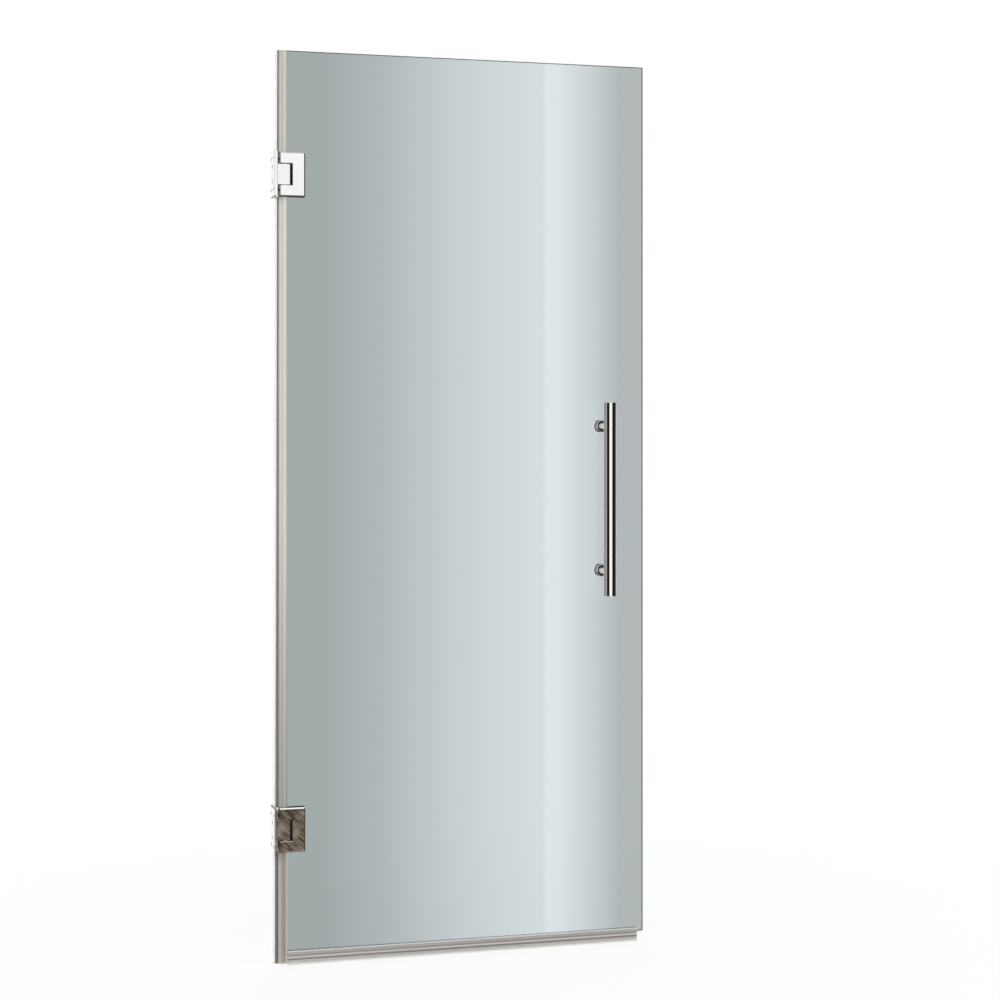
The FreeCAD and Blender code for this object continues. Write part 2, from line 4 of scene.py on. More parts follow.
import bmesh
import bpy
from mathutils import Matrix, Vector

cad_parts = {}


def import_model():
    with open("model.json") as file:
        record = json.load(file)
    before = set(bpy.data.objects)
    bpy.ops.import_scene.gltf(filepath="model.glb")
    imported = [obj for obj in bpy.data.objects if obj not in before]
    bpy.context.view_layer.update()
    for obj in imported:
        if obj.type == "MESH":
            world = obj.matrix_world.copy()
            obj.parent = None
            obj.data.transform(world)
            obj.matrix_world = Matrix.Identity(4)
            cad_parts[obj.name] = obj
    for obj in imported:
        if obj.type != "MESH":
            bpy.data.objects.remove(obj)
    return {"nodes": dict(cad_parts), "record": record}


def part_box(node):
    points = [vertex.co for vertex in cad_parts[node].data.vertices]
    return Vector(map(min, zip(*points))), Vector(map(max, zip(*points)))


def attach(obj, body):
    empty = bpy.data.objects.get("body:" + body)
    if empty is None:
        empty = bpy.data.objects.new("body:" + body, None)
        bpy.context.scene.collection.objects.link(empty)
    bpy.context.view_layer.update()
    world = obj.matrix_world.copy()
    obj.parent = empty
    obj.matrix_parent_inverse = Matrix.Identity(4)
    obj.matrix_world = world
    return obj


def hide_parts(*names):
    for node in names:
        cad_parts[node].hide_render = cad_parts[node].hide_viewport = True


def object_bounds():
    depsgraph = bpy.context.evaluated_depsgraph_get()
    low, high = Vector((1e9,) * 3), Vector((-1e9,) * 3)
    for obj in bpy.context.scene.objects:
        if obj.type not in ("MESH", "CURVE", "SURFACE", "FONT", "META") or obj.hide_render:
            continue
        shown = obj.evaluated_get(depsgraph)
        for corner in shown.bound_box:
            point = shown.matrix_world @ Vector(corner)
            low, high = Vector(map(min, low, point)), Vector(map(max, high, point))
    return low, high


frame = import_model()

# Looks of the frameless hinged shower door, in metres. X runs from the hinge side to the strike
# side, Y from the outside to the inside, and Z up. Colours are three linear levels, and noise
# patterns are a scale and a number of octaves.

MILLIMETRE = 0.001
HINGES = ("lower", "upper")

cad_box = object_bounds()
middle = (cad_box[0] + cad_box[1]) / 2
nodes = frame["nodes"]
glass_low, glass_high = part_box("glass_panel")

# The camera that took the photograph, from its fit to the door's edges
IMAGE_SIZE = 1000.0
FOCAL_PIXELS = 1935.4
HORIZON_ROW = 422.8
SENSOR_WIDTH = 36.0
CAMERA_PLACE = Vector((-0.5257, -3.8559, 0.8133))
CAMERA_TURN = math.radians(14.47)
VIEW_END = 100.0

# The floor, which looks less white near the door, where its shadow lies
FLOOR_SIZE = 14.0
FLOOR_DROP = 0.001
FLOOR_NEAR_GLOW = 0.85
FLOOR_FADE_START = 0.5
FLOOR_FADE_END = 1.6
FLOOR_MOTTLE = (3.0, 2.0)
FLOOR_TONES = [(0.3, (0.86, 0.86, 0.86)), (0.7, (0.9, 0.9, 0.9))]

# The lamps: name, place from the door's middle, width, and power in watts
LAMPS = (
    ("key_lamp", (-2.2, -2.6, 1.6), 1.6, 60.0),
    ("fill_lamp", (2.6, -2.0, 0.6), 2.0, 25.0),
    ("rear_lamp", (0.6, 2.6, 1.6), 2.0, 30.0),
)

# The even light of the world on matte surfaces
SOFT_LIGHT = (0.95, 0.97, 1.0)
SOFT_STRENGTH = 0.7

# What metal and glass mirror: tones round the horizon by degrees, with 0 straight out in front of
# the door and 90 past its strike side
WHITE = (1.0, 1.0, 1.0)
REAR = (1.0, 0.96, 0.94)
DIM = (0.3, 0.29, 0.28)
GREY = (0.56, 0.53, 0.5)
BLACK = (0.004, 0.004, 0.004)
BROWN = (0.012, 0.008, 0.007)
SHADE = (0.19, 0.17, 0.16)
FLAG = (0.03, 0.025, 0.02)
BEIGE = (0.9, 0.87, 0.83)
DUSK = (0.45, 0.44, 0.42)
STUDIO_BANDS = (
    (-180, REAR),
    (-162, REAR),
    (-156, DIM),
    (-132, DIM),
    (-124, GREY),
    (-87, GREY),
    (-80, BLACK),
    (-42, BLACK),
    (-30, WHITE),
    (5, WHITE),
    (14, BROWN),
    (62, BROWN),
    (68, SHADE),
    (77, SHADE),
    (78, FLAG),
    (86, FLAG),
    (87, BEIGE),
    (94, BEIGE),
    (95, FLAG),
    (102, FLAG),
    (103, BEIGE),
    (124, BEIGE),
    (130, DUSK),
    (150, DUSK),
    (156, BLACK),
    (180, BLACK),
)

# The mirrored tones above, below, and low on the strike side. The ranges are heights, depths and
# turns of the mirrored direction between which one tone passes into the next.
ABOVE_FRONT = WHITE
ABOVE_REAR = (0.34, 0.34, 0.34)
BELOW_FRONT = (0.08, 0.07, 0.05)
BELOW_REAR = (1.0, 0.97, 0.94)
LOW_STRIKE_SIDE = (0.11, 0.09, 0.07)
STEEP = (0.6, 0.85)
LOW = (-0.18, -0.12)
PAST_FRONT_ABOVE = (-0.1, 0.1)
PAST_FRONT_BELOW = (-0.05, 0.05)
STRIKE_SIDE_TURN = (math.radians(60), math.radians(66))

# The cards that the hinges' flat faces mirror: a white one above, a streaked one below
CARD_DISTANCE = 0.35
CARD_MARGIN = 0.003
WHITE_CARD_CLOUDS = (8.0, 1.0)
WHITE_CARD_TONES = [(0.3, (0.92, 0.92, 0.93)), (0.7, (1.0, 0.995, 0.99))]
WHITE_CARD_STRENGTH = 1.05
STREAK_TURN = math.radians(-42)
STREAK_STRETCH = (0.07, 1, 1)
STREAK_SCALE = 480.0
STREAK_OCTAVES = 1.0
STREAK_DISTORTION = 0.1
STREAK_TONES = [
    (0.4, (0.045, 0.032, 0.022)),
    (0.5, (0.14, 0.11, 0.082)),
    (0.62, (0.38, 0.33, 0.27)),
]
HAZE = (14.0, 2.0)
HAZE_MOST = 0.25
HAZE_TONE = (0.14, 0.11, 0.085)

# Small rounds on the hinges' chrome pieces
EDGE_ROUND = 0.3 * MILLIMETRE
ROUND_STEPS = 3
ROUND_PROFILE = 0.5
SHARP_ANGLE = math.radians(30)
FLAT_ANGLE = math.radians(1)
WELD_DISTANCE = 0.002 * MILLIMETRE

# How the walls of slots and screw holes that get painted shade are told from the polished faces
WALL_LEAN = 0.9
SLOT_SEARCH = 3.0 * MILLIMETRE
BOSS_SEARCH = 0.5 * MILLIMETRE
PLATE_RIM = 2.0 * MILLIMETRE
PLATE_LEAN = 0.99

# Chrome: its smears darken it a little and spread its gloss
HINGE_CHROME = (0.95, 0.95, 0.95)
HINGE_SMEAR = (60.0, 4.0)
HANDLE_CHROME = (0.95, 0.945, 0.94)
HANDLE_SMEAR = (45.0, 4.0)
SMEAR_TONE = 0.94
CHROME_ROUGHNESS = (0.02, 0.07)

# The rosettes' satin plating, with a ring of painted shade round the post between the two shares of
# their radius below. Its dark tone also darkens the smears.
SHADE_RING_INSIDE = 0.68
SHADE_RING_OUTSIDE = 0.78
SMEAR_AND_RING_SHADE = (0.03, 0.028, 0.026)
SATIN_PALE = (0.80, 0.79, 0.78)
SATIN_SMEAR = (90.0, 4.0)
SATIN_SMEAR_MOST = 0.15
SATIN_ROUGHNESS = (0.22, 0.34)

# Painted shade in recesses: near-black plating with a random mottle
RECESS_SHADE_MOTTLE = (300.0, 3.0)
RECESS_SHADE_TONES = [(0.3, (0.012, 0.011, 0.01)), (0.8, (0.03, 0.028, 0.025))]
RECESS_ROUGHNESS = (0.6, 0.9)

# Turned and machined steel
INNER_STEEL = (0.55, 0.55, 0.56)
INNER_MARKS = (400.0, 3.0)
SCREW_STEEL = (0.62, 0.62, 0.62)
SCREW_MARKS = (700.0, 3.0)
MARK_STRETCH = (1, 8, 1)
MARK_TONE = 0.7
STEEL_ROUGHNESS = (0.22, 0.42)

# Rubber and nylon
RUBBER_GRAIN = (900.0, 3.0)
RUBBER_TONES = [(0.35, (0.012, 0.012, 0.013)), (0.7, (0.035, 0.034, 0.034))]
RUBBER_ROUGHNESS = (0.6, 0.85)
RUBBER_BUMP = 0.2
RUBBER_BUMP_DEPTH = 0.2 * MILLIMETRE
NYLON_GRAIN = (500.0, 2.0)
NYLON_TONES = [(0.3, (0.72, 0.70, 0.64)), (0.7, (0.84, 0.82, 0.77))]
NYLON_ROUGHNESS = (0.35, 0.5)

# The pane: its tint by share of its width from the hinges, with painted shade deepest by the hinges
# and a painted sheen in the pale band before the strike edge, then its ground edges
GLASS_TINT_SHADE_AND_SHEEN = [
    (0.0, (0.357, 0.405, 0.40)),
    (0.11, (0.36, 0.408, 0.404)),
    (0.27, (0.453, 0.50, 0.514)),
    (0.46, (0.602, 0.658, 0.68)),
    (0.6, (0.68, 0.742, 0.765)),
    (0.715, (0.73, 0.795, 0.82)),
    (0.73, (0.80, 0.865, 0.895)),
    (0.77, (0.77, 0.833, 0.86)),
    (0.87, (0.60, 0.66, 0.68)),
    (0.935, (0.48, 0.528, 0.536)),
    (1.0, (0.495, 0.524, 0.52)),
]
GLASS_IOR = 1.5
GLASS_SHADOW = (0.8, 0.84, 0.84)
GLASS_SPOTS = (40.0, 3.0)
GLASS_ROUGHNESS = (0.0, 0.012)
GLASS_EDGE_LEAN = (0.85, 0.97)
# The ground edges' near-black tint is painted shade
GLASS_EDGE_TINT_AND_SHADE = (0.055, 0.057, 0.054)
GLASS_EDGE_ROUGHNESS = 0.3

# Clear plastic, streaked along its length
PLASTIC_IOR = 1.46
PLASTIC_STREAKS = (60.0, 2.0)
PLASTIC_ROUGHNESS = (0.12, 0.3)
STREAKS_UPRIGHT = (6, 6, 0.05)
STREAKS_LEVEL = (0.05, 6, 6)
VINYL_TINT = (0.80, 0.775, 0.74)
VINYL_STREAK_TINT = (0.55, 0.52, 0.48)
VINYL_STREAK_MOST = 0.35
VINYL_TRANSMISSION = 0.6
PROFILE_STREAK_TINT = (0.3, 0.28, 0.26)
PROFILE_STREAK_MOST = 0.12
PROFILE_TRANSMISSION = 0.5
PROFILE_SHADOW = (0.8, 0.79, 0.77)

# Tints across the clear profiles, by distance in millimetres from the low side of each profile. They
# hold the plastic's own tone and painted shade, most of all in the dark bands.
HINGE_SEAL_TINTS_AND_SHADE = [
    (0.0, (1.0, 1.0, 1.0)),
    (8.2, (0.97, 0.96, 0.95)),
    (8.8, (0.44, 0.42, 0.39)),
    (12.0, (0.46, 0.44, 0.41)),
    (13.1, (0.90, 0.86, 0.80)),
    (16.0, (0.80, 0.77, 0.70)),
    (18.8, (0.70, 0.685, 0.635)),
    (20.8, (0.82, 0.81, 0.76)),
    (22.8, (0.95, 0.94, 0.91)),
    (25.0, (0.82, 0.82, 0.78)),
    (26.8, (0.60, 0.61, 0.585)),
    (28.2, (0.55, 0.56, 0.53)),
]
LOW_SEAL_TINTS_AND_SHADE = [
    (0.0, (1.0, 1.0, 1.0)),
    (4.2, (0.94, 0.93, 0.92)),
    (5.0, (0.28, 0.265, 0.25)),
    (9.4, (0.28, 0.265, 0.24)),
    (10.8, (0.68, 0.62, 0.57)),
    (15.4, (0.66, 0.59, 0.52)),
    (18.8, (0.49, 0.44, 0.38)),
    (24.4, (0.45, 0.42, 0.38)),
    (26.4, (0.72, 0.69, 0.65)),
    (28.2, (0.72, 0.68, 0.64)),
]
SWEEP_TINTS_AND_SHADE = [
    (0.0, (0.42, 0.40, 0.38)),
    (1.0, (0.42, 0.40, 0.38)),
    (2.2, (0.84, 0.82, 0.78)),
    (4.4, (0.84, 0.81, 0.77)),
    (5.4, (0.46, 0.43, 0.40)),
    (8.0, (0.47, 0.44, 0.41)),
    (9.2, (0.65, 0.61, 0.58)),
    (11.2, (0.64, 0.60, 0.57)),
    (13.0, (0.58, 0.55, 0.52)),
    (14.6, (0.95, 0.93, 0.90)),
    (16.1, (1.0, 0.98, 0.95)),
]
WIPER_TINTS_AND_SHADE = [
    (0.0, (0.93, 0.93, 0.91)),
    (2.5, (0.82, 0.82, 0.79)),
    (4.5, (0.69, 0.68, 0.65)),
    (8.6, (0.68, 0.67, 0.64)),
    (9.8, (0.42, 0.41, 0.39)),
    (12.0, (0.41, 0.40, 0.38)),
]

# Painted shade that darkens a clear seal towards the floor and at the top, by share of the glass
# height. The pale wall fin, up to SHADE_START in millimetres across the profile, keeps its tone.
LENGTH_SHADES = [(0.18, 0.67), (0.48, 1.0), (0.835, 1.0), (0.86, 0.87)]
EVEN_SHADES = [(0.0, 1.0), (1.0, 1.0)]
SHADE_START = 8.5

# The dark band of painted shade on the hinge seal starts nearer to the fin's free edge by these
# millimetres at the bottom and at the top of the glass. Past LEAN_END across the profile nothing
# moves.
BAND_LEAN = (3.85, -0.5)
NO_LEAN = (0.0, 0.0)
LEAN_END = 10.5


def add(tree, kind, inputs=None, **settings):
    """Adds a node. Inputs are values or other nodes' outputs, by socket name or number."""
    node = tree.nodes.new(kind)
    for name, value in settings.items():
        setattr(node, name, value)
    for key, value in (inputs or {}).items():
        socket = node.inputs[key]
        if isinstance(value, bpy.types.NodeSocket):
            tree.links.new(value, socket)
        elif socket.type == "RGBA":
            socket.default_value = (*value, 1)
        else:
            socket.default_value = value
    return node


def output_of(tree, kind, inputs=None, **settings):
    """Adds a node and gives its first output."""
    return add(tree, kind, inputs, **settings).outputs[0]


def math_node(tree, operation, *values):
    return output_of(tree, "ShaderNodeMath", dict(enumerate(values)), operation=operation)


def share_between(tree, value, low, high):
    """0 at low, 1 at high, and straight between them."""
    return output_of(tree, "ShaderNodeMapRange", {"Value": value, "From Min": low, "From Max": high})


def smooth_step(tree, value, low, high):
    """0 below low, 1 above high, and smooth between them."""
    inputs = {"Value": value, "From Min": low, "From Max": high}
    return output_of(tree, "ShaderNodeMapRange", inputs, interpolation_type="SMOOTHSTEP")


def remap(tree, value, low, high):
    """Spreads a value from 0..1 over low..high."""
    return output_of(tree, "ShaderNodeMapRange", {"Value": value, "To Min": low, "To Max": high})


def mix_colour(tree, share, first, second):
    inputs = {0: share, 6: first, 7: second}
    return add(tree, "ShaderNodeMix", inputs, data_type="RGBA").outputs[2]


def mix_shader(tree, share, first, second):
    return output_of(tree, "ShaderNodeMixShader", {0: share, 1: first, 2: second})


def ramp(tree, value, stops):
    """A colour ramp from (place, colour) stops."""
    node = add(tree, "ShaderNodeValToRGB", {0: value})
    elements = node.color_ramp.elements
    while len(elements) < len(stops):
        elements.new(0.5)
    for element, (place, colour) in zip(elements, stops):
        element.position = place
        element.color = (*colour, 1)
    return node.outputs[0]


def noise(tree, coordinates, pattern, stretch=(1, 1, 1)):
    scale, octaves = pattern
    moved = output_of(tree, "ShaderNodeMapping", {"Vector": coordinates, "Scale": stretch})
    return output_of(tree, "ShaderNodeTexNoise", {"Vector": moved, "Scale": scale, "Detail": octaves})


def object_place(tree):
    return add(tree, "ShaderNodeTexCoord").outputs["Object"]


def axis_of(tree, vector, axis):
    return add(tree, "ShaderNodeSeparateXYZ", {0: vector}).outputs[axis]


def distance_from(tree, place, centre, axes):
    """How far a place lies from a centre, measured along two axes."""
    offsets = [math_node(tree, "SUBTRACT", axis_of(tree, place, axis), centre[axis]) for axis in axes]
    squares = [math_node(tree, "MULTIPLY", offset, offset) for offset in offsets]
    return math_node(tree, "SQRT", math_node(tree, "ADD", *squares))


def new_tree(name):
    material = bpy.data.materials.new(name)
    material.use_nodes = True
    material.node_tree.nodes.clear()
    return material, material.node_tree


def finish_tree(tree, shader):
    add(tree, "ShaderNodeOutputMaterial", {"Surface": shader})


def principled(tree, colour, roughness, more):
    inputs = {"Base Color": colour, "Roughness": roughness, **more}
    return output_of(tree, "ShaderNodeBsdfPrincipled", inputs)


def let_lamps_through(tree, shader, colour):
    """Clear pieces pass a tinted share of the lamps' light, so that they don't cast black shadows."""
    shadow_ray = add(tree, "ShaderNodeLightPath").outputs["Is Shadow Ray"]
    clear = output_of(tree, "ShaderNodeBsdfTransparent", {"Color": colour})
    return mix_shader(tree, shadow_ray, shader, clear)


def chrome(name, tint, smears):
    """Plating with faint smears in its gloss."""
    material, tree = new_tree(name)
    smear = noise(tree, object_place(tree), smears)
    dark = tuple(SMEAR_TONE * level for level in tint)
    colour = mix_colour(tree, smear, dark, tint)
    roughness = remap(tree, smear, *CHROME_ROUGHNESS)
    finish_tree(tree, principled(tree, colour, roughness, {"Metallic": 1.0}))
    return material


def ringed_satin(node):
    """A rosette's satin plating, with a ring of painted shade round its post."""
    material, tree = new_tree(f"{node}_satin")
    place = object_place(tree)
    low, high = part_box(node)
    from_centre = distance_from(tree, place, (low + high) / 2, (0, 2))
    share = math_node(tree, "DIVIDE", from_centre, (high.x - low.x) / 2)
    ringed = ramp(tree, share, [(SHADE_RING_INSIDE, SMEAR_AND_RING_SHADE), (SHADE_RING_OUTSIDE, SATIN_PALE)])
    smear = noise(tree, place, SATIN_SMEAR)
    colour = mix_colour(tree, remap(tree, smear, 0.0, SATIN_SMEAR_MOST), ringed, SMEAR_AND_RING_SHADE)
    roughness = remap(tree, smear, *SATIN_ROUGHNESS)
    finish_tree(tree, principled(tree, colour, roughness, {"Metallic": 1.0}))
    return material


def recess_painted_shade():
    """Painted shade inside slots and bores, as dull, near-black plating."""
    material, tree = new_tree("recess_painted_shade")
    shade_mottle = noise(tree, object_place(tree), RECESS_SHADE_MOTTLE)
    colour = ramp(tree, shade_mottle, RECESS_SHADE_TONES)
    roughness = remap(tree, shade_mottle, *RECESS_ROUGHNESS)
    finish_tree(tree, principled(tree, colour, roughness, {"Specular IOR Level": 0.0}))
    return material


def steel(name, tint, scratches):
    """Turned or machined stainless steel with fine marks."""
    material, tree = new_tree(name)
    marks = noise(tree, object_place(tree), scratches, MARK_STRETCH)
    dark = tuple(MARK_TONE * level for level in tint)
    colour = mix_colour(tree, marks, dark, tint)
    roughness = remap(tree, marks, *STEEL_ROUGHNESS)
    finish_tree(tree, principled(tree, colour, roughness, {"Metallic": 1.0}))
    return material


def rubber():
    """The gaskets' matte rubber with its fine grain."""
    material, tree = new_tree("gasket_rubber")
    grain = noise(tree, object_place(tree), RUBBER_GRAIN)
    colour = ramp(tree, grain, RUBBER_TONES)
    roughness = remap(tree, grain, *RUBBER_ROUGHNESS)
    relief = {"Height": grain, "Strength": RUBBER_BUMP, "Distance": RUBBER_BUMP_DEPTH}
    bump = output_of(tree, "ShaderNodeBump", relief)
    finish_tree(tree, principled(tree, colour, roughness, {"Normal": bump}))
    return material


def nylon():
    """The bushes' moulded nylon."""
    material, tree = new_tree("white_nylon")
    grain = noise(tree, object_place(tree), NYLON_GRAIN)
    colour = ramp(tree, grain, NYLON_TONES)
    finish_tree(tree, principled(tree, colour, remap(tree, grain, *NYLON_ROUGHNESS), {}))
    return material


def tempered_glass():
    """The pane: clear and tinted on its faces, dull and darker on its ground edges, where the dark
    tint is painted shade.

    The tint is deepest by the hinges and palest in a band before the strike edge: painted shade by
    the hinges and a painted sheen in the pale band.
    """
    material, tree = new_tree("tempered_glass")
    coordinates = add(tree, "ShaderNodeTexCoord")
    place = coordinates.outputs["Object"]
    across = share_between(tree, axis_of(tree, place, 0), glass_low.x, glass_high.x)
    facing = math_node(tree, "ABSOLUTE", axis_of(tree, coordinates.outputs["Normal"], 1))
    edge = math_node(tree, "SUBTRACT", 1.0, smooth_step(tree, facing, *GLASS_EDGE_LEAN))
    colour = mix_colour(tree, edge, ramp(tree, across, GLASS_TINT_SHADE_AND_SHEEN), GLASS_EDGE_TINT_AND_SHADE)
    spots = remap(tree, noise(tree, place, GLASS_SPOTS), *GLASS_ROUGHNESS)
    dull = math_node(tree, "MULTIPLY", edge, GLASS_EDGE_ROUGHNESS)
    roughness = math_node(tree, "ADD", spots, dull)
    clear = {"Transmission Weight": 1.0, "IOR": GLASS_IOR}
    shader = principled(tree, colour, roughness, clear)
    finish_tree(tree, let_lamps_through(tree, shader, GLASS_SHADOW))
    return material


def clear_vinyl():
    """The washers' and sleeves' clear plastic, faintly streaked."""
    material, tree = new_tree("clear_vinyl")
    streaks = noise(tree, object_place(tree), PLASTIC_STREAKS, STREAKS_UPRIGHT)
    streaked = remap(tree, streaks, 0.0, VINYL_STREAK_MOST)
    colour = mix_colour(tree, streaked, VINYL_TINT, VINYL_STREAK_TINT)
    roughness = remap(tree, streaks, *PLASTIC_ROUGHNESS)
    clear = {"Transmission Weight": VINYL_TRANSMISSION, "IOR": PLASTIC_IOR}
    shader = principled(tree, colour, roughness, clear)
    finish_tree(tree, let_lamps_through(tree, shader, VINYL_TINT))
    return material


def clear_profile(name, node, axis, tints_and_shade, stretch, shades=EVEN_SHADES, lean=NO_LEAN):
    """Clear extruded plastic whose walls, webs and hollows read as bands across its profile, with
    painted shade in its dark bands.

    The shades are levels of painted shade along the glass height, and the lean moves the bands near
    the profile's low side, by millimetres at the bottom and at the top of the glass.
    """
    material, tree = new_tree(name)
    place = object_place(tree)
    low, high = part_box(node)
    unit = MILLIMETRE / (high[axis] - low[axis])
    across = share_between(tree, axis_of(tree, place, axis), low[axis], high[axis])
    height = share_between(tree, axis_of(tree, place, 2), glass_low.z, glass_high.z)
    moved = remap(tree, height, lean[0] * unit, lean[1] * unit)
    moves = math_node(tree, "LESS_THAN", across, LEAN_END * unit)
    across = math_node(tree, "ADD", across, math_node(tree, "MULTIPLY", moves, moved))
    banded = ramp(tree, across, [(distance * unit, tint) for distance, tint in tints_and_shade])
    levels = ramp(tree, height, [(share, (level, level, level)) for share, level in shades])
    dimmed = output_of(tree, "ShaderNodeVectorMath", {0: banded, 1: levels}, operation="MULTIPLY")
    past_fin = math_node(tree, "GREATER_THAN", across, SHADE_START * unit)
    shaded = mix_colour(tree, past_fin, banded, dimmed)
    streaks = noise(tree, place, PLASTIC_STREAKS, stretch)
    streaked = remap(tree, streaks, 0.0, PROFILE_STREAK_MOST)
    colour = mix_colour(tree, streaked, shaded, PROFILE_STREAK_TINT)
    roughness = remap(tree, streaks, *PLASTIC_ROUGHNESS)
    clear = {"Transmission Weight": PROFILE_TRANSMISSION, "IOR": PLASTIC_IOR}
    shader = principled(tree, colour, roughness, clear)
    finish_tree(tree, let_lamps_through(tree, shader, PROFILE_SHADOW))
    return material


def set_material(piece, *materials):
    """Gives a piece its materials, in the order of its faces' slots."""
    while len(piece.data.materials) < len(materials):
        piece.data.materials.append(None)
    for index, material in enumerate(materials):
        piece.data.materials[index] = material


def rounded_mesh(node, mark_painted_shade):
    """A copy of a CAD node's mesh, welded and flattened, with small rounds on its sharp edges."""
    mesh = nodes[node].data.copy()
    form = bmesh.new()
    form.from_mesh(mesh)
    bmesh.ops.remove_doubles(form, verts=form.verts, dist=WELD_DISTANCE)
    bmesh.ops.dissolve_limit(
        form, angle_limit=FLAT_ANGLE, verts=form.verts, edges=form.edges, delimit=set()
    )
    form.normal_update()
    for face in form.faces:
        # Faces that the mark picks take the second slot, the painted shade of recesses
        face.material_index = 1 if mark_painted_shade(face) else 0
        face.smooth = True
    sharp = [
        edge
        for edge in form.edges
        if len(edge.link_faces) == 2 and edge.calc_face_angle() > SHARP_ANGLE
    ]
    bmesh.ops.bevel(
        form,
        geom=sharp,
        offset=EDGE_ROUND,
        segments=ROUND_STEPS,
        profile=ROUND_PROFILE,
        affect="EDGES",
        clamp_overlap=True,
    )
    form.to_mesh(mesh)
    form.free()
    return mesh


def rounded_piece(node, body, materials, mark_painted_shade):
    """Replaces a hinge's CAD node with its own shape, its sharp edges slightly rounded."""
    piece = bpy.data.objects.new(f"{node}_body", rounded_mesh(node, mark_painted_shade))
    bpy.context.scene.collection.objects.link(piece)
    set_material(piece, *materials)
    modifier = piece.modifiers.new("flat_faces_stay_flat", "WEIGHTED_NORMAL")
    modifier.keep_sharp = True
    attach(piece, body)
    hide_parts(node)


def hinge_covers(hinge, polished, recess_shade):
    """The polished pieces of one hinge: both clamps, the knuckle block and the wall plate."""
    block_low, block_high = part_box(f"{hinge}_knuckle_block")
    plate_low, plate_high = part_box(f"{hinge}_wall_plate")
    centre_z = (block_low.z + block_high.z) / 2
    slot_half = (block_high.z - block_low.z) / 2 + SLOT_SEARCH
    boss_depth = glass_high.y + BOSS_SEARCH
    holes_across = plate_high.y - PLATE_RIM
    holes_up = (plate_high.z - plate_low.z) / 2 - PLATE_RIM

    def in_clamp_recess(face):
        """The walls that face the wall plate, the slot's two ends, and all between the plates, which
        get painted shade.
        """
        place = face.calc_center_median()
        at_slot_end = abs(face.normal.z) > WALL_LEAN and abs(place.z - centre_z) < slot_half
        return face.normal.x < -WALL_LEAN or at_slot_end or abs(place.y) < boss_depth

    # The wall plate's screw hole walls, which get painted shade
    def in_plate_hole(face):
        place = face.calc_center_median()
        inside = abs(place.y) < holes_across and abs(place.z - centre_z) < holes_up
        return inside and abs(face.normal.x) < PLATE_LEAN

    def in_no_recess(face):
        return False

    for part, body, mark_painted_shade in (
        ("outer_clamp", "door", in_clamp_recess),
        ("inner_clamp", "door", in_clamp_recess),
        ("knuckle_block", "wall_side", in_no_recess),
        ("wall_plate", "wall_side", in_plate_hole),
    ):
        rounded_piece(f"{hinge}_{part}", body, (polished, recess_shade), mark_painted_shade)


def dress_nodes():
    """Gives every CAD node and cover its material."""
    polished = chrome("hinge_chrome", HINGE_CHROME, HINGE_SMEAR)
    # Painted shade for slots, bores and the clamp walls that face the wall plate
    recess_shade = recess_painted_shade()
    seal = clear_profile(
        "hinge_seal_vinyl",
        "hinge_seal_middle",
        0,
        HINGE_SEAL_TINTS_AND_SHADE,
        STREAKS_UPRIGHT,
        LENGTH_SHADES,
        BAND_LEAN,
    )
    low_seal = clear_profile(
        "low_seal_vinyl", "hinge_seal_bottom", 0, LOW_SEAL_TINTS_AND_SHADE, STREAKS_UPRIGHT
    )
    sweep = clear_profile("clear_polycarbonate", "bottom_seal", 2, SWEEP_TINTS_AND_SHADE, STREAKS_LEVEL)
    wiper = clear_profile("wiper_vinyl", "bottom_wiper", 2, WIPER_TINTS_AND_SHADE, STREAKS_LEVEL)
    by_slot = {
        "door_glass": tempered_glass(),
        "hinge_chrome": polished,
        "handle_chrome": chrome("handle_chrome", HANDLE_CHROME, HANDLE_SMEAR),
        "screw_steel": steel("screw_steel", SCREW_STEEL, SCREW_MARKS),
        "inner_steel": steel("inner_steel", INNER_STEEL, INNER_MARKS),
        "white_nylon": nylon(),
        "gasket_rubber": rubber(),
        "clear_vinyl": clear_vinyl(),
        "clear_polycarbonate": sweep,
    }
    by_node = {
        "hinge_seal_bottom": low_seal,
        "hinge_seal_middle": seal,
        "hinge_seal_top": seal,
        "bottom_wiper": wiper,
        "lower_rosette": ringed_satin("lower_rosette"),
        "upper_rosette": ringed_satin("upper_rosette"),
    }
    for row in frame["record"]["subparts"]:
        node = row["node"]
        set_material(nodes[node], by_node.get(node) or by_slot[row["material_slot"]])
    for hinge in HINGES:
        hinge_covers(hinge, polished, recess_shade)


def mirrored_ray(tree):
    """1 for rays that come off polished metal or glass, also when they then pass through the pane."""
    path = add(tree, "ShaderNodeLightPath")
    return math_node(tree, "GREATER_THAN", path.outputs["Glossy Depth"], 0.5)


def seen_ray(tree):
    """1 for rays that show the background: from the camera, or through glass."""
    path = add(tree, "ShaderNodeLightPath")
    from_camera = path.outputs["Is Camera Ray"]
    through_glass = path.outputs["Is Transmission Ray"]
    seen = math_node(tree, "MAXIMUM", from_camera, through_glass)
    return math_node(tree, "MULTIPLY", seen, math_node(tree, "SUBTRACT", 1.0, mirrored_ray(tree)))


def stage_object(name, corners):
    """A flat sheet of the stage, which is no part of the door."""
    mesh = bpy.data.meshes.new(name)
    mesh.from_pydata(corners, [], [tuple(range(len(corners)))])
    piece = bpy.data.objects.new(name, mesh)
    bpy.context.scene.collection.objects.link(piece)
    return piece


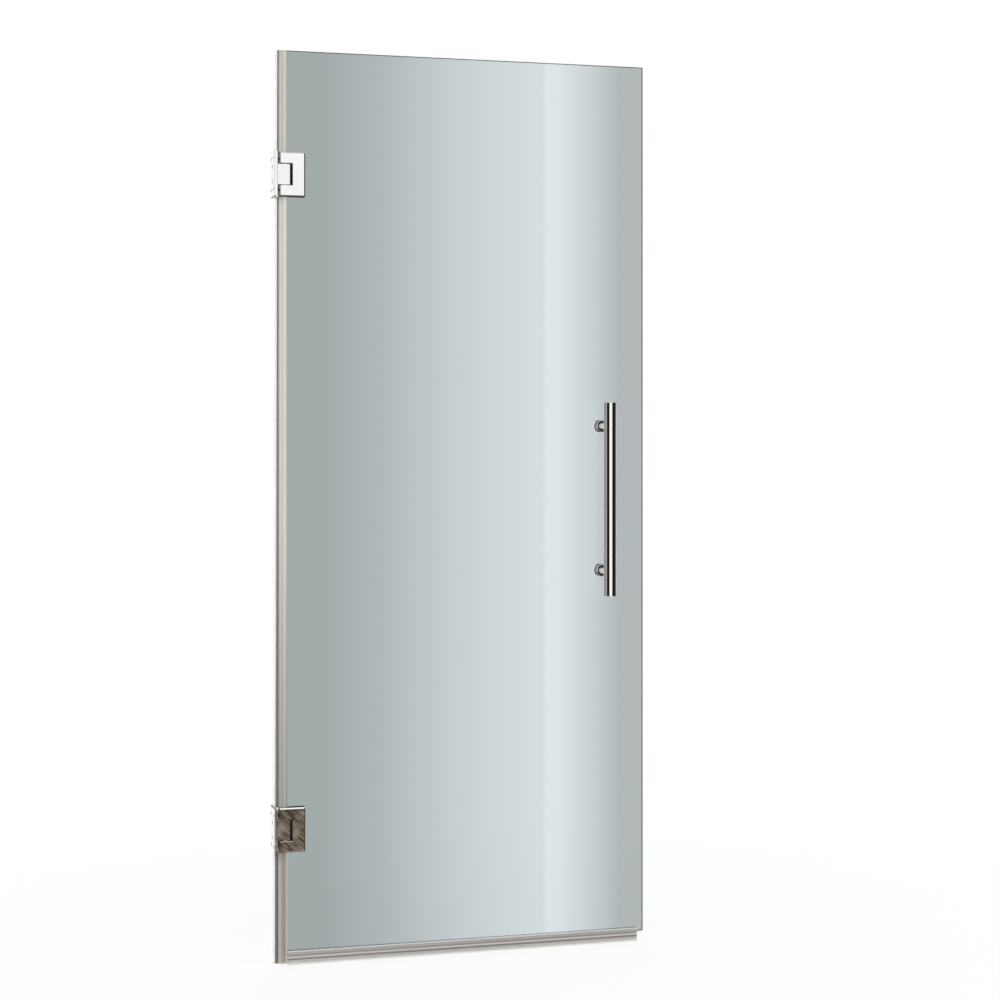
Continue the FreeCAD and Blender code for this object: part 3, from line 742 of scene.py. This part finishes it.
def floor():
    """A pale floor that looks white, keeps a soft shadow by the door and fades out round it.

    Mirrored rays don't meet it, so that what the pane mirrors has no edge.
    """
    reach = FLOOR_SIZE / 2
    z = cad_box[0].z - FLOOR_DROP
    corners = [(-reach, -reach, z), (reach, -reach, z), (reach, reach, z), (-reach, reach, z)]
    piece = stage_object("floor", corners)
    material, tree = new_tree("pale_floor")
    place = object_place(tree)
    pale = ramp(tree, noise(tree, place, FLOOR_MOTTLE), FLOOR_TONES)
    matte = output_of(tree, "ShaderNodeBsdfDiffuse", {"Color": pale})
    glow = output_of(tree, "ShaderNodeEmission", {"Color": WHITE, "Strength": 1.0})
    away = distance_from(tree, place, middle, (0, 1))
    fade = smooth_step(tree, away, FLOOR_FADE_START, FLOOR_FADE_END)
    glowing = math_node(tree, "MULTIPLY", seen_ray(tree), remap(tree, fade, FLOOR_NEAR_GLOW, 1.0))
    shown = mix_shader(tree, glowing, matte, glow)
    clear = output_of(tree, "ShaderNodeBsdfTransparent")
    finish_tree(tree, mix_shader(tree, mirrored_ray(tree), shown, clear))
    piece.data.materials.append(material)
    piece.visible_glossy = False


def studio_bands(tree, direction):
    """What polished metal mirrors: a broad white light in front, between dark flags."""
    x, y, z = (axis_of(tree, direction, axis) for axis in range(3))
    turn = math_node(tree, "ARCTAN2", x, math_node(tree, "MULTIPLY", y, -1.0))
    around = share_between(tree, turn, -math.pi, math.pi)
    sides = ramp(tree, around, [(0.5 + degrees / 360.0, tone) for degrees, tone in STUDIO_BANDS])
    low = math_node(tree, "SUBTRACT", 1.0, smooth_step(tree, z, *LOW))
    strike_side = smooth_step(tree, turn, *STRIKE_SIDE_TURN)
    low_strike_side = math_node(tree, "MULTIPLY", low, strike_side)
    sides = mix_colour(tree, low_strike_side, sides, LOW_STRIKE_SIDE)
    above = mix_colour(tree, smooth_step(tree, y, *PAST_FRONT_ABOVE), ABOVE_FRONT, ABOVE_REAR)
    below = mix_colour(tree, smooth_step(tree, y, *PAST_FRONT_BELOW), BELOW_FRONT, BELOW_REAR)
    with_top = mix_colour(tree, smooth_step(tree, z, *STEEP), sides, above)
    down = math_node(tree, "MULTIPLY", z, -1.0)
    return mix_colour(tree, smooth_step(tree, down, *STEEP), with_top, below)


def world():
    """White where it is seen, even soft light elsewhere, and studio bands in reflections."""
    studio = bpy.data.worlds.new("studio")
    bpy.context.scene.world = studio
    studio.use_nodes = True
    tree = studio.node_tree
    tree.nodes.clear()
    direction = add(tree, "ShaderNodeTexCoord").outputs["Generated"]
    even = {"Color": SOFT_LIGHT, "Strength": SOFT_STRENGTH}
    soft = output_of(tree, "ShaderNodeBackground", even)
    bands = output_of(tree, "ShaderNodeBackground", {"Color": studio_bands(tree, direction)})
    white = output_of(tree, "ShaderNodeBackground", {"Color": WHITE, "Strength": 1.0})
    unlit = mix_shader(tree, mirrored_ray(tree), soft, bands)
    shader = mix_shader(tree, seen_ray(tree), unlit, white)
    add(tree, "ShaderNodeOutputWorld", {"Surface": shader})


def lamp(name, place, width, power):
    """A soft square lamp. Reflections come from the studio bands instead."""
    data = bpy.data.lights.new(name, "AREA")
    data.shape = "SQUARE"
    data.size = width
    data.energy = power
    light = bpy.data.objects.new(name, data)
    bpy.context.scene.collection.objects.link(light)
    light.location = place
    light.rotation_euler = (middle - place).to_track_quat("-Z", "Y").to_euler()
    light.visible_glossy = False
    light.visible_transmission = False
    light.visible_camera = False


def camera():
    """The photograph's camera: level, turned towards the strike side, and shifted down."""
    data = bpy.data.cameras.new("camera")
    data.sensor_width = SENSOR_WIDTH
    data.lens = FOCAL_PIXELS * SENSOR_WIDTH / IMAGE_SIZE
    data.shift_y = (HORIZON_ROW - IMAGE_SIZE / 2) / IMAGE_SIZE
    data.clip_end = VIEW_END
    piece = bpy.data.objects.new("camera", data)
    bpy.context.scene.collection.objects.link(piece)
    piece.location = CAMERA_PLACE
    piece.rotation_euler = (math.pi / 2, 0, -CAMERA_TURN)
    bpy.context.scene.camera = piece


def card_corners(low, high):
    """The part of an upright plane in front that a flat face at low.y mirrors to the camera."""
    face_y = low.y
    mirrored = Vector((CAMERA_PLACE.x, 2 * face_y - CAMERA_PLACE.y, CAMERA_PLACE.z))
    left, right = low.x - CARD_MARGIN, high.x + CARD_MARGIN
    bottom, top = low.z - CARD_MARGIN, high.z + CARD_MARGIN
    corners = []
    for x, z in ((left, bottom), (right, bottom), (right, top), (left, top)):
        ray = Vector((x, face_y, z)) - mirrored
        share = (face_y - CARD_DISTANCE - mirrored.y) / ray.y
        corners.append(tuple(mirrored + ray * share))
    return corners


def card(name, hinge, shader_maker):
    """A small card close in front of a hinge, where its flat faces mirror it to the camera."""
    low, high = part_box(f"{hinge}_outer_clamp")
    from_wall = Vector((0.0, low.y, low.z))
    piece = stage_object(name, card_corners(from_wall, high))
    material, tree = new_tree(name)
    finish_tree(tree, shader_maker(tree))
    piece.data.materials.append(material)
    for ray in ("camera", "diffuse", "transmission", "shadow", "volume_scatter"):
        setattr(piece, f"visible_{ray}", False)


def white_card_shader(tree):
    soft = noise(tree, object_place(tree), WHITE_CARD_CLOUDS)
    colour = ramp(tree, soft, WHITE_CARD_TONES)
    return output_of(tree, "ShaderNodeEmission", {"Color": colour, "Strength": WHITE_CARD_STRENGTH})


def streaked_card_shader(tree):
    """Brown-grey streaks that run down to the right, under a thin haze."""
    place = object_place(tree)
    turned = output_of(tree, "ShaderNodeMapping", {"Vector": place, "Rotation": (0, STREAK_TURN, 0)})
    stretched = output_of(tree, "ShaderNodeMapping", {"Vector": turned, "Scale": STREAK_STRETCH})
    pattern = {
        "Vector": stretched,
        "Scale": STREAK_SCALE,
        "Detail": STREAK_OCTAVES,
        "Distortion": STREAK_DISTORTION,
    }
    streaks = ramp(tree, output_of(tree, "ShaderNodeTexNoise", pattern), STREAK_TONES)
    haze = remap(tree, noise(tree, place, HAZE), 0.0, HAZE_MOST)
    colour = mix_colour(tree, haze, streaks, HAZE_TONE)
    return output_of(tree, "ShaderNodeEmission", {"Color": colour, "Strength": 1.0})


bpy.context.scene.view_settings.view_transform = "Standard"
camera()
world()
floor()
for lamp_name, offset, lamp_width, lamp_power in LAMPS:
    lamp(lamp_name, middle + Vector(offset), lamp_width, lamp_power)
card("white_card", "upper", white_card_shader)
card("streaked_card", "lower", streaked_card_shader)
dress_nodes()
